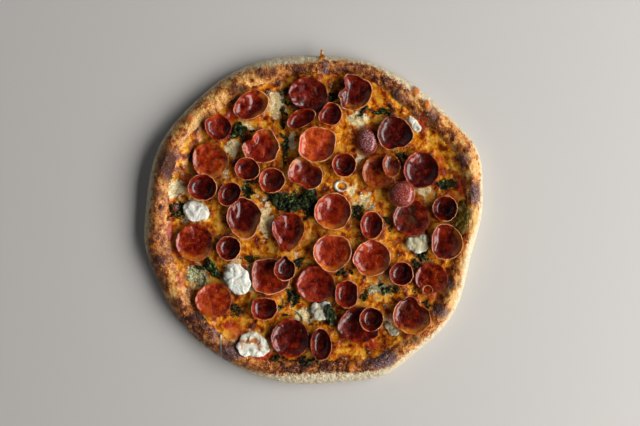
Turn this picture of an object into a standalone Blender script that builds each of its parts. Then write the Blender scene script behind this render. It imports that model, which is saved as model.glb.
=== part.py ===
"""A whole hand-stretched pizza with cupped pepperoni, fresh cheese and basil.

Frame: +Z up, the pizza lies flat on z = 0, and the origin is under the middle of its outline.
Sizes below are in millimetres, and MM turns them into Blender's metres.
"""

from collections import namedtuple
from math import atan2, cos, degrees, exp, hypot, radians, sin

import bmesh
import bpy
import numpy as np
from mathutils import Vector
from mathutils.bvhtree import BVHTree

MM = 0.001

# Driving sizes of the dough
PIZZA_RADIUS = 168.0
RIM_HEIGHT = 18.0
BASE_THICKNESS = 4.5
INNER_ZONE = 42.0
SEGMENTS = 84

# Driving sizes of what lies on it
CHEESE_THICKNESS = 3.6
CHEESE_MARGIN = 21.0
CHEESE_LIP = 1.2
SLICE_THICKNESS = 1.8
LEAF_THICKNESS = 0.8
GAP = 0.4
LEAST_GAP = 0.28
LIFT_STEP = 0.2
STEEPEST_LEAN = 0.3
RAY_HEIGHT = 80.0

# The hand-stretched edge: an angle, the half width of the bulge in degrees, and how far it goes out
EDGE_BULGES = [
    (4, 7, 1.5),
    (23, 11, 10.5),
    (41, 9, 2.0),
    (62, 8, -1.5),
    (88, 17, -3.5),
    (153, 13, 4.0),
    (189, 9, 5.0),
    (212, 7, 1.0),
    (272, 12, -3.5),
    (295, 8, 5.5),
    (322, 9, 1.0),
    (346, 12, -5.5),
]

# The puffy rim: an angle, the half width in degrees, and how far the crest rises or sinks
RIM_SWELLS = [
    (10, 16, 1.6),
    (50, 12, -1.4),
    (88, 9, 1.2),
    (120, 15, -1.0),
    (160, 12, 1.5),
    (196, 10, -0.8),
    (219, 12, -2.4),
    (243, 8, 1.4),
    (275, 12, -0.8),
    (300, 12, 1.6),
    (335, 12, -1.2),
]

# Where the toppings reach further out and the rim is narrower: an angle, the half width in
# degrees, and the share of the rim's width that goes
RIM_NARROWINGS = [
    (351, 13, 0.42),
    (316, 11, 0.30),
    (334, 8, 0.12),
    (73, 12, 0.32),
    (98, 10, 0.15),
    (244, 9, 0.28),
]

# Bubbles that charred as the rim baked
Blister = namedtuple("Blister", "x y radius height")
BLISTERS = [
    Blister(-144, 54, 13, 3.4),
    Blister(-157, 26, 9, 2.2),
    Blister(-75, 132, 9, 2.4),
    Blister(-46, 147, 9, 2.2),
    Blister(8, 148, 9, 3.0),
    Blister(81, 122, 9, 2.4),
    Blister(119, 99, 10, 2.8),
    Blister(146, 61, 14, 3.6),
    Blister(159, 28, 11, 3.0),
    Blister(135, -64, 9, 2.2),
    Blister(124, -90, 9, 2.4),
    Blister(70, -138, 14, 3.6),
    Blister(32, -133, 9, 2.0),
    Blister(-81, -131, 10, 2.6),
    Blister(-114, -97, 10, 3.0),
    Blister(-137, -84, 9, 2.2),
]

# One pepperoni slice: its middle, its half widths, how it is turned, how deep it cupped as it
# baked, its way of lying, and pinches of its rim as (angle, half width, inward, upward)
Slice = namedtuple("Slice", "x y half_x half_y turn depth lies pinches")


def slice_of(x, y, half_x, half_y=None, turn=0, depth=3.0, lies="up", pinches=()):
    """A slice, round unless a second half width is given."""
    return Slice(x, y, half_x, half_y or half_x, turn, depth, lies, pinches)


# In the order they were laid: the flat ones, the shallow cups, then the small deep cups
PEPPERONI = [
    slice_of(-104, 58, 18.5, depth=2.5),
    slice_of(64, 47, 17, depth=2.2),
    slice_of(97, 1, 19, depth=2.4),
    slice_of(-119.5, -23.5, 19.5, depth=2.6),
    slice_of(-44.5, -57, 19, depth=2.8),
    slice_of(2, -65, 19, depth=2.6),
    slice_of(117, -59, 17, 16, depth=1.8),
    slice_of(45, -106, 20, 19, depth=3.2, pinches=((150, 25, -1.0, 1.5),)),
    slice_of(-100, -81, 19, 18, depth=2.0),
    slice_of(-5, 125, 19, 18, depth=3.2, pinches=((60, 20, 2.0, 1.5), (200, 18, 1.5, 1.0))),
    slice_of(-9, 45, 18.5, 17.5, depth=4.0, pinches=((50, 20, 5.0, 0.5), (246, 19, 6.0, 1.5))),
    slice_of(107, 49, 19, depth=4.6, pinches=((0, 40, 1.0, 1.5),)),
    slice_of(-71, 2, 17, 20.5, depth=4.8, pinches=((80, 20, 1.0, 1.5),)),
    slice_of(-53, 72.5, 18, 17.5, depth=3.8, pinches=((128, 14, 4.5, 1.0), (196, 16, -1.5, 0.5))),
    slice_of(41, 127, 18, depth=5.5, pinches=((160, 16, 5.0, 3.0), (215, 18, 1.5, 2.0))),
    slice_of(3, 74, 19, depth=4.0),
    slice_of(80.5, 85, 17.5, 18.2, depth=5.5, pinches=((282, 20, 2.5, 2.5),)),
    slice_of(132, -23, 16.5, 18.5, turn=10, depth=4.8),
    slice_of(19, 7.5, 19.5, depth=5.6),
    slice_of(-25.5, -12, 17, 20, turn=-8, depth=4.8),
    slice_of(18, -34, 20, 19.5, depth=4.2),
    slice_of(58, -39, 19.2, depth=4.0),
    slice_of(97, -96.5, 19.5, depth=5.6, pinches=((48, 14, 3.5, 1.0),)),
    slice_of(-24, -119, 20, depth=4.0),
    slice_of(-62.5, 113.5, 18.8, 14.2, turn=30, depth=4.8),
    slice_of(-95.5, 91, 14, 13, depth=4.6),
    slice_of(77, 53, 9.5, 12.5, turn=10, depth=3.0),
    slice_of(-13, 100, 16, 9, turn=25, depth=6.0),
    slice_of(16, 105, 13, 12, depth=6.5),
    slice_of(130.5, 10.5, 13.2, 13.5, depth=8.0),
    slice_of(30, 54, 13, depth=8.0),
    slice_of(-42, 38.5, 14, 13.5, depth=6.5),
    slice_of(-66.5, 50, 13.5, 12, turn=-15, depth=6.0),
    slice_of(-111, 31.5, 15.5, 14, depth=7.0),
    slice_of(-84, 25, 11.3, 13.8, turn=-40, depth=7.5),
    slice_of(-85, -29, 13, depth=7.0),
    slice_of(57.5, -6, 12, 15, depth=6.5),
    slice_of(-29, -48.5, 11, 14, depth=6.0, pinches=((52, 18, 2.0, 0.5), (128, 18, 2.0, 0.5))),
    slice_of(87, -54.5, 12.8, depth=8.0),
    slice_of(32.5, -75, 12, 15, depth=7.0),
    slice_of(-49.5, -89.5, 14, 12, depth=6.5),
    slice_of(57, -99.5, 12.8, depth=8.0),
    slice_of(7, -125, 11, 17, turn=4, depth=7.0),
    slice_of(53.2, 77.5, 10.6, 14, turn=8, depth=7.0, lies="down"),
    slice_of(87.5, 25, 14.5, 14, depth=8.5, lies="down"),
]

# Lumps of fresh cheese: middle, half widths, turn and height
Lump = namedtuple("Lump", "x y half_x half_y turn height")
FRESH_CHEESE = [
    Lump(-118, 7, 14, 11, -10, 6.0),
    Lump(-77, -61, 14, 18, 20, 8.0),
    Lump(-61, -126, 17, 12.5, -14, 5.0),
    Lump(104, -23, 12, 11, 0, 5.0),
    Lump(99.5, 95, 4.5, 13.5, 41, 4.0),
    Lump(7, -91, 10, 10, 0, 5.0),
    Lump(79.5, -109.5, 9, 6.5, -20, 3.5),
]

# Basil leaves: middle, half length, half width, turn, wave height, and whether laid on the slices
Leaf = namedtuple("Leaf", "x y half_length half_width turn wave on_top")
BASIL = [
    Leaf(-27, 16, 18, 9, -18, 1.8, False),
    Leaf(-5, 21, 12, 8, 60, 1.6, False),
    Leaf(147, -1, 20, 6.5, 84, 1.0, False),
    Leaf(-102, -50, 14, 5, -55, 1.4, False),
    Leaf(-76, 89, 9, 5, 70, 2.2, True),
    Leaf(17, -96, 12, 5, 100, 2.0, True),
]


def angle_apart(a, b):
    """The smaller angle between two directions, in degrees."""
    return abs((a - b + 180.0) % 360.0 - 180.0)


def swell(angle, bulges):
    """The sum of smooth bulges at an angle."""
    return sum(size * exp(-((angle_apart(angle, at) / half) ** 2)) for at, half, size in bulges)


def edge_radius(angle):
    """How far the pizza reaches at an angle in degrees."""
    return PIZZA_RADIUS + swell(angle, EDGE_BULGES) + 0.8 * sin(radians(7 * angle))


def stretched(radius, angle):
    """Where a point of the round pizza goes as its edge is stretched by hand."""
    inset = PIZZA_RADIUS - radius
    if inset > INNER_ZONE:
        return radius * (edge_radius(angle) - INNER_ZONE) / (PIZZA_RADIUS - INNER_ZONE)
    narrowing = swell(angle, RIM_NARROWINGS) * (1.0 - (inset / INNER_ZONE) ** 2)
    return edge_radius(angle) - inset * (1.0 - narrowing)


def material(name, colour, roughness):
    """A plain Principled finish."""
    made = bpy.data.materials.new(name)
    made.use_nodes = True
    shader = made.node_tree.nodes["Principled BSDF"]
    shader.inputs["Base Color"].default_value = (*colour, 1.0)
    shader.inputs["Roughness"].default_value = roughness
    shader.inputs["Metallic"].default_value = 0.0
    return made


def turned(profile, steps):
    """The closed solid that a profile of (radius, height) sweeps round the upright axis."""
    mesh = bpy.data.meshes.new("profile")
    points = [(radius * MM, 0.0, height * MM) for radius, height in profile]
    mesh.from_pydata(points, [(i, i + 1) for i in range(len(points) - 1)], [])
    blank = bpy.data.objects.new("profile", mesh)
    bpy.context.scene.collection.objects.link(blank)
    screw = blank.modifiers.new("Screw", "SCREW")
    screw.steps = steps
    screw.render_steps = steps
    screw.use_merge_vertices = True
    screw.merge_threshold = 0.00001
    solid = evaluated(blank)
    bpy.data.objects.remove(blank)
    return solid


def evaluated(obj):
    """A new mesh with an object's modifiers applied."""
    depsgraph = bpy.context.evaluated_depsgraph_get()
    return bpy.data.meshes.new_from_object(obj.evaluated_get(depsgraph))


def moved(mesh, rule):
    """Moves each point of a mesh by a rule in millimetres."""
    for vertex in mesh.vertices:
        vertex.co = Vector(rule(*(vertex.co / MM))) * MM
    mesh.update()


def place(name, mesh, finish, middle=(0.0, 0.0, 0.0)):
    """Adds a finished mesh to the pizza as a named object, at its middle in millimetres."""
    mesh.name = name
    mesh.materials.clear()
    mesh.materials.append(finish)
    mesh.shade_smooth()
    mesh.set_sharp_from_angle(angle=radians(50))
    made = bpy.data.objects.new(name, mesh)
    made.location = Vector(middle) * MM
    made.parent = pizza
    collection.objects.link(made)
    return made


class Ground:
    """What has been laid so far, and how high it stands at a point."""

    def __init__(self):
        self.points = []
        self.faces = []
        self.tree = None

    def add(self, mesh, middle=(0.0, 0.0, 0.0)):
        """Adds a mesh to what lies there."""
        start = len(self.points)
        self.points += [vertex.co / MM + Vector(middle) for vertex in mesh.vertices]
        self.faces += [[start + i for i in face.vertices] for face in mesh.polygons]
        self.tree = BVHTree.FromPolygons(self.points, self.faces)

    def height(self, x, y):
        """The height of the topmost surface at a point."""
        hit = self.tree.ray_cast(Vector((x, y, RAY_HEIGHT)), Vector((0.0, 0.0, -1.0)))
        return hit[0].z if hit[0] else 0.0

    def clears(self, mesh, middle):
        """Whether a mesh is free of everything that lies there, with the gap kept."""
        points = [vertex.co / MM + Vector(middle) for vertex in mesh.vertices]
        tree = BVHTree.FromPolygons(points, [list(face.vertices) for face in mesh.polygons])
        if tree.overlap(self.tree):
            return False
        return all(self.tree.find_nearest(point, LEAST_GAP)[0] is None for point in points)

    def rest(self, mesh, x, y):
        """The lowest height at which a mesh lies clear on what is there, once leant to its slope."""
        points = [vertex.co / MM for vertex in mesh.vertices]
        heights = np.array([self.height(x + p.x, y + p.y) for p in points])
        level = np.array([(1.0, p.x, p.y) for p in points])
        slope = np.linalg.lstsq(level, heights, rcond=None)[0][1:]
        lean_x, lean_y = np.clip(slope, -STEEPEST_LEAN, STEEPEST_LEAN)
        moved(mesh, lambda px, py, pz: (px, py, pz + lean_x * px + lean_y * py))
        room = heights - np.array([vertex.co.z / MM for vertex in mesh.vertices])
        z = max(float(np.min(room)), float(np.max(room)) - 0.5 * BASE_THICKNESS)
        while not self.clears(mesh, (x, y, z)):
            z += LIFT_STEP
        return z


def crust_mesh():
    """Dough: a thin base that runs out into a puffy, blistered rim."""
    edge = PIZZA_RADIUS
    profile = [
        (0.0, BASE_THICKNESS),
        (edge - 90.0, BASE_THICKNESS),
        (edge - INNER_ZONE, BASE_THICKNESS + 0.4),
        (edge - 30.0, 7.0),
        (edge - 24.0, 11.2),
        (edge - 18.0, 16.0),
        (edge - 12.5, RIM_HEIGHT),
        (edge - 8.0, 17.0),
        (edge - 4.0, 14.0),
        (edge - 1.2, 10.2),
        (edge, 6.6),
        (edge - 0.8, 3.4),
        (edge - 3.5, 1.0),
        (edge - 9.0, 0.0),
        (0.0, 0.0),
    ]

    def shaped(x, y, z):
        radius = hypot(x, y)
        angle = degrees(atan2(y, x)) % 360.0
        reach = stretched(radius, angle)
        x, y = reach * cos(radians(angle)), reach * sin(radians(angle))
        if z > BASE_THICKNESS + 1.0:
            share = (z - BASE_THICKNESS) / (RIM_HEIGHT - BASE_THICKNESS)
            bubbles = sum(
                b.height * exp(-(((x - b.x) ** 2 + (y - b.y) ** 2) / b.radius**2))
                for b in BLISTERS
            )
            inset = PIZZA_RADIUS - radius
            crags = 0.5 * sin(radians(17 * angle + 60)) * sin(inset / 3.2)
            crags += 0.4 * sin(radians(29 * angle)) * cos(inset / 4.0 + 2.0)
            z += share * (swell(angle, RIM_SWELLS) + bubbles + crags)
        return x, y, z

    mesh = turned(profile, SEGMENTS)
    moved(mesh, shaped)
    return mesh


def add_cheese_tip(crust):
    """A drip of cheese that ran over the rim and crisped to a point, fused to the crust."""
    source = bmesh.new()
    bmesh.ops.create_cone(
        source, cap_ends=True, segments=6, radius1=3.6 * MM, radius2=0.5 * MM, depth=15.0 * MM
    )
    mesh = bpy.data.meshes.new("cheese_tip")
    source.to_mesh(mesh)
    source.free()
    tip = bpy.data.objects.new("cheese_tip", mesh)
    tip.location = Vector((8.4, 162.0, 13.0)) * MM
    tip.rotation_euler = (radians(-80), 0.0, radians(8))
    tip.parent = pizza
    cutters.objects.link(tip)
    tip.hide_render = True
    tip.display_type = "WIRE"
    join = crust.modifiers.new("Cheese tip", "BOOLEAN")
    join.operation = "UNION"
    join.solver = "EXACT"
    join.object = tip


def cheese_mesh(crust):
    """Melted cheese: its underside follows the crust, and its ragged edge runs up the rim."""
    edge = PIZZA_RADIUS
    under, lip, top = 0.0, 1.0, 2.0
    profile = [(0.0, top)]
    profile += [(edge - inset, top) for inset in (118.0, 92.0, 68.0, 48.0, 34.0, 26.0)]
    profile += [(edge - CHEESE_MARGIN, lip), (edge - CHEESE_MARGIN, under)]
    profile += [(edge - inset, under) for inset in (24.0, 30.0, INNER_ZONE, 90.0)]
    profile += [(0.0, under)]

    def shaped(x, y, layer):
        radius = hypot(x, y)
        angle = degrees(atan2(y, x)) % 360.0
        inset = edge - radius
        if abs(inset - CHEESE_MARGIN) < 0.1:
            radius += 1.5 * sin(radians(5 * angle + 40)) + 1.0 * sin(radians(13 * angle))
        reach = stretched(radius, angle)
        x, y = reach * cos(radians(angle)), reach * sin(radians(angle))
        slope_gap = 2.0 * GAP if inset < 31.0 else GAP
        floor = crust.height(x, y) + slope_gap
        if layer < 0.5 * lip:
            return x, y, floor
        if layer < 0.5 * (lip + top):
            return x, y, floor + CHEESE_LIP
        thickness = CHEESE_THICKNESS * min(1.0, 0.55 + (inset - 24.0) / 40.0)
        waves = sin(x / 23.0 + 1.0) * cos(y / 27.0) + 0.6 * sin((x - y) / 15.0)
        return x, y, floor + thickness + 0.45 * waves * min(1.0, inset / 60.0)

    mesh = turned(profile, SEGMENTS)
    moved(mesh, shaped)
    return mesh


def cup_profile(radius, depth):
    """A slice that cupped as it baked: a flat floor and a wall that flares up to the rim."""
    wall = SLICE_THICKNESS
    return [
        (0.0, wall),
        (0.58 * radius, wall + 0.06 * depth),
        (0.88 * radius - 0.5 * wall, wall + 0.5 * depth),
        (radius - 0.8 * wall, wall + depth),
        (radius, wall + 0.92 * depth),
        (0.86 * radius, 0.36 * depth),
        (0.6 * radius, 0.0),
        (0.0, 0.0),
    ]


def dome_profile(radius, depth):
    """A cupped slice that lies upside down, open below."""
    wall = SLICE_THICKNESS
    return [
        (0.0, wall + depth),
        (0.5 * radius, wall + 0.93 * depth),
        (0.85 * radius, wall + 0.6 * depth),
        (radius, 0.3),
        (radius - 0.8 * wall, 0.0),
        (0.76 * radius, 0.62 * depth),
        (0.45 * radius, 0.93 * depth),
        (0.0, depth),
    ]


def slice_mesh(s, number):
    """One pepperoni slice, warped from round by its own half widths, wobble and pinches."""
    radius = max(s.half_x, s.half_y)
    profile = dome_profile if s.lies == "down" else cup_profile
    steps = 14 if radius > 15.5 else 12
    mesh = turned(profile(radius, s.depth), steps)
    phase = 70.0 * number

    def shaped(x, y, z):
        part = hypot(x, y) / radius
        angle = degrees(atan2(y, x)) % 360.0
        wobble = 1.0 + 0.025 * sin(radians(3 * angle + phase))
        inward = sum(
            p[2] * exp(-((angle_apart(angle, p[0] - s.turn) / p[1]) ** 2)) for p in s.pinches
        )
        upward = sum(
            p[3] * exp(-((angle_apart(angle, p[0] - s.turn) / p[1]) ** 2)) for p in s.pinches
        )
        shrink = wobble * (1.0 - part * inward / radius)
        x, y = x * shrink * s.half_x / radius, y * shrink * s.half_y / radius
        turn = radians(s.turn)
        rise = part**3 * (upward + 0.5 * sin(radians(2 * angle + phase)))
        return x * cos(turn) - y * sin(turn), x * sin(turn) + y * cos(turn), z + rise

    moved(mesh, shaped)
    return mesh


def inside_slice(x, y, clearance):
    """Whether a point is within a clearance of any slice's outline."""
    for s in PEPPERONI:
        turn = radians(-s.turn)
        dx, dy = x - s.x, y - s.y
        across = (dx * cos(turn) - dy * sin(turn)) / (s.half_x + clearance)
        along = (dx * sin(turn) + dy * cos(turn)) / (s.half_y + clearance)
        if hypot(across, along) < 1.0:
            return True
    return False


def lump_mesh(lump, number, ground):
    """Fresh cheese: an uneven lump that sits on the melted cheese and fits between the slices."""
    source = bmesh.new()
    bmesh.ops.create_uvsphere(source, u_segments=12, v_segments=7, radius=1.0)
    mesh = bpy.data.meshes.new("lump")
    source.to_mesh(mesh)
    source.free()

    def reach(direction):
        """How far the lump spreads in a direction before it meets a slice."""
        turn = direction - radians(lump.turn)
        full = 1.0 / hypot(cos(turn) / lump.half_x, sin(turn) / lump.half_y)
        full *= 1.0 + 0.10 * sin(3 * direction + number)
        spread = 0.35 * full
        while spread < full:
            x, y = lump.x + spread * cos(direction), lump.y + spread * sin(direction)
            if inside_slice(x, y, 0.6):
                break
            spread += 0.5
        return spread

    def shaped(x, y, z):
        x, y, z = x * MM, y * MM, z * MM
        direction = atan2(y, x)
        spread = reach(direction) * min(1.0, hypot(x, y) * 1.05)
        x, y = spread * cos(direction), spread * sin(direction)
        floor = ground.height(lump.x + x, lump.y + y) + GAP
        bumps = 0.12 * lump.height * sin(0.45 * x + number) * sin(0.5 * y + 2 * number)
        return x, y, floor + (z + 1.0) / 2.0 * lump.height + max(z, 0.0) * bumps

    moved(mesh, shaped)
    return mesh


def leaf_mesh(leaf, number, ground):
    """A basil leaf: a thin wavy blade that lies over what is below it."""
    source = bmesh.new()
    bmesh.ops.create_grid(source, x_segments=6, y_segments=3, size=1.0)
    bmesh.ops.triangulate(source, faces=source.faces)
    blade = bpy.data.meshes.new("blade")
    source.to_mesh(blade)
    source.free()
    turn = radians(leaf.turn)

    def shaped(x, y, z):
        along, across = x * MM, y * MM
        taper = 1.0 - 0.8 * abs(along) ** 2.4
        wave = 0.5 + 0.5 * sin(4.0 * along + number) * cos(2.0 * across + 0.5 * number)
        bend = 0.12 * leaf.half_length * along**2
        px, py = leaf.half_length * along, leaf.half_width * across * taper + bend
        x, y = px * cos(turn) - py * sin(turn), px * sin(turn) + py * cos(turn)
        return x, y, ground.height(leaf.x + x, leaf.y + y) + GAP + leaf.wave * wave

    moved(blade, shaped)
    blank = bpy.data.objects.new("blade", blade)
    bpy.context.scene.collection.objects.link(blank)
    thicken = blank.modifiers.new("Solidify", "SOLIDIFY")
    thicken.thickness = LEAF_THICKNESS * MM
    thicken.offset = 1.0
    mesh = evaluated(blank)
    bpy.data.objects.remove(blank)
    return mesh


def settle(mesh, ground, x, y):
    """The small lift that frees a mesh that already follows the ground."""
    lift = 0.0
    while not ground.clears(mesh, (x, y, lift)):
        lift += 0.5 * LIFT_STEP
    return lift


# The empty that carries the pizza, and the collections
for old in list(bpy.data.objects):
    bpy.data.objects.remove(old)
collection = bpy.data.collections.new("pepperoni_pizza")
cutters = bpy.data.collections.new("cutters")
bpy.context.scene.collection.children.link(collection)
bpy.context.scene.collection.children.link(cutters)
pizza = bpy.data.objects.new("pizza", None)
collection.objects.link(pizza)

baked_dough = material("baked_dough", (0.60, 0.30, 0.10), 0.75)
melted_cheese = material("melted_cheese", (0.78, 0.42, 0.08), 0.35)
cured_meat = material("cured_meat", (0.36, 0.05, 0.025), 0.35)
white_cheese = material("white_cheese", (0.86, 0.82, 0.70), 0.5)
green_leaf = material("green_leaf", (0.07, 0.10, 0.03), 0.55)

# Dough and melted cheese
crust = place("crust", crust_mesh(), baked_dough)
crust_top = Ground()
crust_top.add(crust.data)
add_cheese_tip(crust)
cheese = place("melted_cheese", cheese_mesh(crust_top), melted_cheese)
ground = Ground()
ground.add(crust.data)
ground.add(cheese.data)

# Fresh cheese and the leaves that went on before the slices
for number, lump in enumerate(FRESH_CHEESE, 1):
    mesh = lump_mesh(lump, number, ground)
    lift = settle(mesh, ground, lump.x, lump.y)
    place(f"fresh_cheese_{number}", mesh, white_cheese, (lump.x, lump.y, lift))
    ground.add(mesh, (lump.x, lump.y, lift))


def lay_leaves(on_top):
    """Lays the leaves that belong under or over the slices."""
    for number, leaf in enumerate(BASIL, 1):
        if leaf.on_top != on_top:
            continue
        mesh = leaf_mesh(leaf, number, ground)
        lift = settle(mesh, ground, leaf.x, leaf.y)
        place(f"basil_{number}", mesh, green_leaf, (leaf.x, leaf.y, lift))
        ground.add(mesh, (leaf.x, leaf.y, lift))


lay_leaves(on_top=False)

# Pepperoni, each resting on what was laid before it
for number, s in enumerate(PEPPERONI, 1):
    mesh = slice_mesh(s, number)
    z = ground.rest(mesh, s.x, s.y)
    place(f"pepperoni_{number:02d}", mesh, cured_meat, (s.x, s.y, z))
    ground.add(mesh, (s.x, s.y, z))

lay_leaves(on_top=True)

# The origin goes under the middle of the whole outline
bpy.context.view_layer.update()
corners = np.array([crust.matrix_world @ Vector(corner) for corner in crust.bound_box])
middle = (corners.min(axis=0) + corners.max(axis=0)) / 2.0
pizza.location = (-middle[0], -middle[1], 0.0)
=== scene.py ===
import random
from math import cos, radians, sin

import bpy
import numpy as np
from mathutils import Matrix, Vector, noise
from mathutils.bvhtree import BVHTree


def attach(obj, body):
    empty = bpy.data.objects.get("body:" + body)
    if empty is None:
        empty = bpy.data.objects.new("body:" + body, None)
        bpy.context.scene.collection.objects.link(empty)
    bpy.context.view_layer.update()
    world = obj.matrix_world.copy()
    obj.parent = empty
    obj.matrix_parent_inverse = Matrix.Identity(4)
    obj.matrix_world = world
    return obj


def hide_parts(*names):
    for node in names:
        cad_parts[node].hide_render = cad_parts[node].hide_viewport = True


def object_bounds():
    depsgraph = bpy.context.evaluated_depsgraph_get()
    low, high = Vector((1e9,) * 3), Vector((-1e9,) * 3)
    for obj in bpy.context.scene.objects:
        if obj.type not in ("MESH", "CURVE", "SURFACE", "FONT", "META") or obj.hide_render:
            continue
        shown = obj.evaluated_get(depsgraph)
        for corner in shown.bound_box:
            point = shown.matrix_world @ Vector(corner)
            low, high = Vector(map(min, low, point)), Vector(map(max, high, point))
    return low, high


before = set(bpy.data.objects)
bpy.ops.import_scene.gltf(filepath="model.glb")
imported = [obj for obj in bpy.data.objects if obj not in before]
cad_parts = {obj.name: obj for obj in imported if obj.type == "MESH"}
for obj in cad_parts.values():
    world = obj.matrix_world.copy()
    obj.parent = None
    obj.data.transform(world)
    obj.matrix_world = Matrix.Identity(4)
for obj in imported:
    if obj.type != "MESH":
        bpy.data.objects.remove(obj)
cad_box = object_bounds()

# Dough
# One thin base of wheat dough, stretched by hand, that puffed up into a rim in a hot oven. Cheese
# browned over most of the rim, the outermost dough stayed pale and floury, and bubbles charred.

# Every length of the pizza is in mm, and MM turns it into metres
MM = 0.001
DOUGH_RELIEF = 1.1
DOUGH_UNEVEN = 7.0
DOUGH_FINE = 2.6
BLISTER_SIZE = 7.5
SMALL_BLISTER_SIZE = 3.4
FLOUR_RELIEF = 0.18
FLOUR_SIZE = 5.0
DRIP_X = 8.5
CLEARANCE = 0.2
FOOD_IOR = 1.34
OIL_IOR = 1.4
SAUCE_RED = (0.50, 0.035, 0.010)

# A direction in degrees, the half width of the stretch, and how much wider the pale band is there
PALE_WIDTH = 3.0
PALE_BANDS = [
    (3, 16, 1.5),
    (50, 14, 5.0),
    (78, 10, 1.0),
    (100, 14, 6.5),
    (135, 14, 0.5),
    (178, 16, 3.5),
    # The band goes below zero at 218 degrees, so the browned film covers the dough's side there as
    # painted shade
    (218, 22, -9.0),
    (272, 20, 8.0),
    (294, 12, 3.0),
    (318, 14, 2.0),
    (344, 14, 4.0),
]

# Charred bubbles: the middle, the half widths in mm, and how far each one charred
CHARRED = [
    (-143, 52, 12, 17, 0.95),
    (-140, 44, 6, 6, 1.0),
    (-156, 24, 6, 6, 0.6),
    (-155, 6, 4, 5, 0.4),
    (-158, -12, 5, 8, 0.4),
    (-150, -66, 5, 6, 0.5),
    (-76, 129, 8, 4, 0.8),
    (-51, 143, 9, 5, 0.6),
    (-40, 145, 5, 5, 0.6),
    (-13, 147, 11, 7, 0.55),
    (45, 149, 25, 6, 0.4),
    (66, 128, 8, 5, 0.5),
    (82, 122, 5, 9, 0.9),
    (120, 97, 5, 5, 0.8),
    (147, 60, 11, 11, 0.25),
    (161, 24, 7, 12, 0.85),
    (137, -66, 5, 6, 0.85),
    (147, -67, 4, 5, 0.7),
    (124, -91, 6, 6, 0.8),
    (131, -96, 7, 6, 0.6),
    (102, -123, 5, 4, 0.7),
    (69, -140, 14, 10, 0.7),
    (33, -135, 5, 7, 0.9),
    (-113, -99, 11, 5, 1.0),
    (-136, -86, 6, 5, 0.7),
    (-81, -133, 10, 8, 0.85),
    (-58, -152, 9, 4, 0.6),
    (-153, -40, 9, 9, 0.35),
]

# Blisters that dried to a frosted grey skin, and spots painted lilac-white as painted sheen
FROSTED = [
    (68, -140, 15, 10, 0.9),
    (34, -136, 5, 7, 0.6),
    (134, -66, 6, 6, 0.5),
    (126, -94, 8, 6, 0.7),
    (147, 56, 8, 7, 0.6),
    (162, 22, 6, 11, 0.6),
    (-81, -134, 12, 8, 0.6),
    (-98, -118, 5, 10, 0.4),
    (12, 143, 3, 12, 0.9),
    (101, 97, 6, 8, 0.5),
    (-146, 44, 5, 4, 0.2),
    (120, 104, 6, 6, 0.5),
    (88, 118, 9, 7, 0.3),
]

# Where the rim is painted darker: where it baked darkest, and painted shade on its left and lower
# left, which face away from the key light. The middle, the half widths and how much darker
DARKER_RIM = [
    (-113, -106, 30, 20, 0.75),
    (-85, -140, 26, 18, 0.45),
    (-155, -40, 14, 22, 0.5),
    (-158, 8, 12, 34, 0.3),
    (55, 140, 50, 16, 0.5),
    (0, 146, 34, 12, 0.45),
    (105, 105, 30, 24, 0.2),
    (10, -147, 60, 14, 1.0),
]

# Where it stayed light
LIGHTER_RIM = [
    (157, -4, 9, 18, 0.7),
    (160, 46, 6, 8, 0.5),
    (154, -38, 6, 14, 0.5),
    (120, 118, 14, 8, 0.3),
    (-112, 96, 16, 12, 0.5),
    (-92, 120, 14, 8, 0.3),
    (142, -76, 8, 12, 0.3),
    (-60, 136, 12, 8, 0.2),
]

# Tomato sauce that boiled out between the cheese and the rim
SAUCE = [
    (-143, -14, 3.5, 12, 0.9),
    (-135, -36, 5, 4, 0.8),
    (148, 30, 4, 10, 0.8),
    (140, 20, 7, 6, 0.6),
    (-50, -138, 10, 4, 1.0),
    (-70, -117, 7, 5, 0.9),
    (-104, -84, 7, 6, 0.7),
    (-132, -60, 4, 9, 0.6),
    (-84, -109, 8, 5, 0.7),
    (109, 95, 4, 10, 0.8),
    (-82, 103, 6, 8, 0.9),
    (-78, -113, 8, 9, 0.6),
    (-126, 36, 4, 9, 0.6),
    (-140, 8, 4, 8, 0.6),
    (60, -128, 8, 4, 0.8),
    (120, -78, 6, 6, 0.6),
    (128, -30, 4, 14, 0.4),
    (126, 52, 6, 13, 0.6),
]

# Beads of cheese fat that dried amber on the rim, and the crease where the dough folded
AMBER_BEADS = [
    (102, 125, 4, 5, 1.0),
    (113, 112, 3, 5, 1.0),
    (45, -140, 5, 7, 1.0),
    (-123, 98, 4, 4, 1.0),
    (38, -150, 4, 5, 1.0),
]
BEAD_HEIGHT = 1.8
CREASE_X = -92.0
CREASE_REACH = (-142.0, -103.0)
CREASE_DROP = 1.3


def chosen(piece):
    """Makes one piece the only one that operators act on."""
    bpy.ops.object.select_all(action="DESELECT")
    piece.select_set(True)
    bpy.context.view_layer.objects.active = piece


def taken_from(node, name):
    """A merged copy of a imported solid, as the start of the piece that dresses it."""
    piece = bpy.data.objects.new(name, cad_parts[node].data.copy())
    bpy.context.scene.collection.objects.link(piece)
    chosen(piece)
    piece.data.materials.clear()
    bpy.ops.object.mode_set(mode="EDIT")
    bpy.ops.mesh.select_all(action="SELECT")
    bpy.ops.mesh.remove_doubles(threshold=0.01 * MM)
    bpy.ops.mesh.tris_convert_to_quads(face_threshold=radians(50), shape_threshold=radians(60))
    bpy.ops.object.mode_set(mode="OBJECT")
    bpy.ops.mesh.customdata_custom_splitnormals_clear()
    bpy.ops.object.shade_smooth()
    return piece


def applied(piece, kind, **settings):
    """Adds a modifier with its settings and applies it."""
    chosen(piece)
    modifier = piece.modifiers.new(kind.title(), kind)
    for name, value in settings.items():
        setattr(modifier, name, value)
    bpy.ops.object.modifier_apply(modifier=modifier.name)


def refined(piece, levels, swell=0.0):
    """Subdivides a piece into a smooth fine mesh, swelled first by what smoothing takes off."""
    if swell:
        applied(piece, "SMOOTH", factor=-swell, iterations=1)
    applied(piece, "SUBSURF", levels=levels, render_levels=levels)


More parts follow.
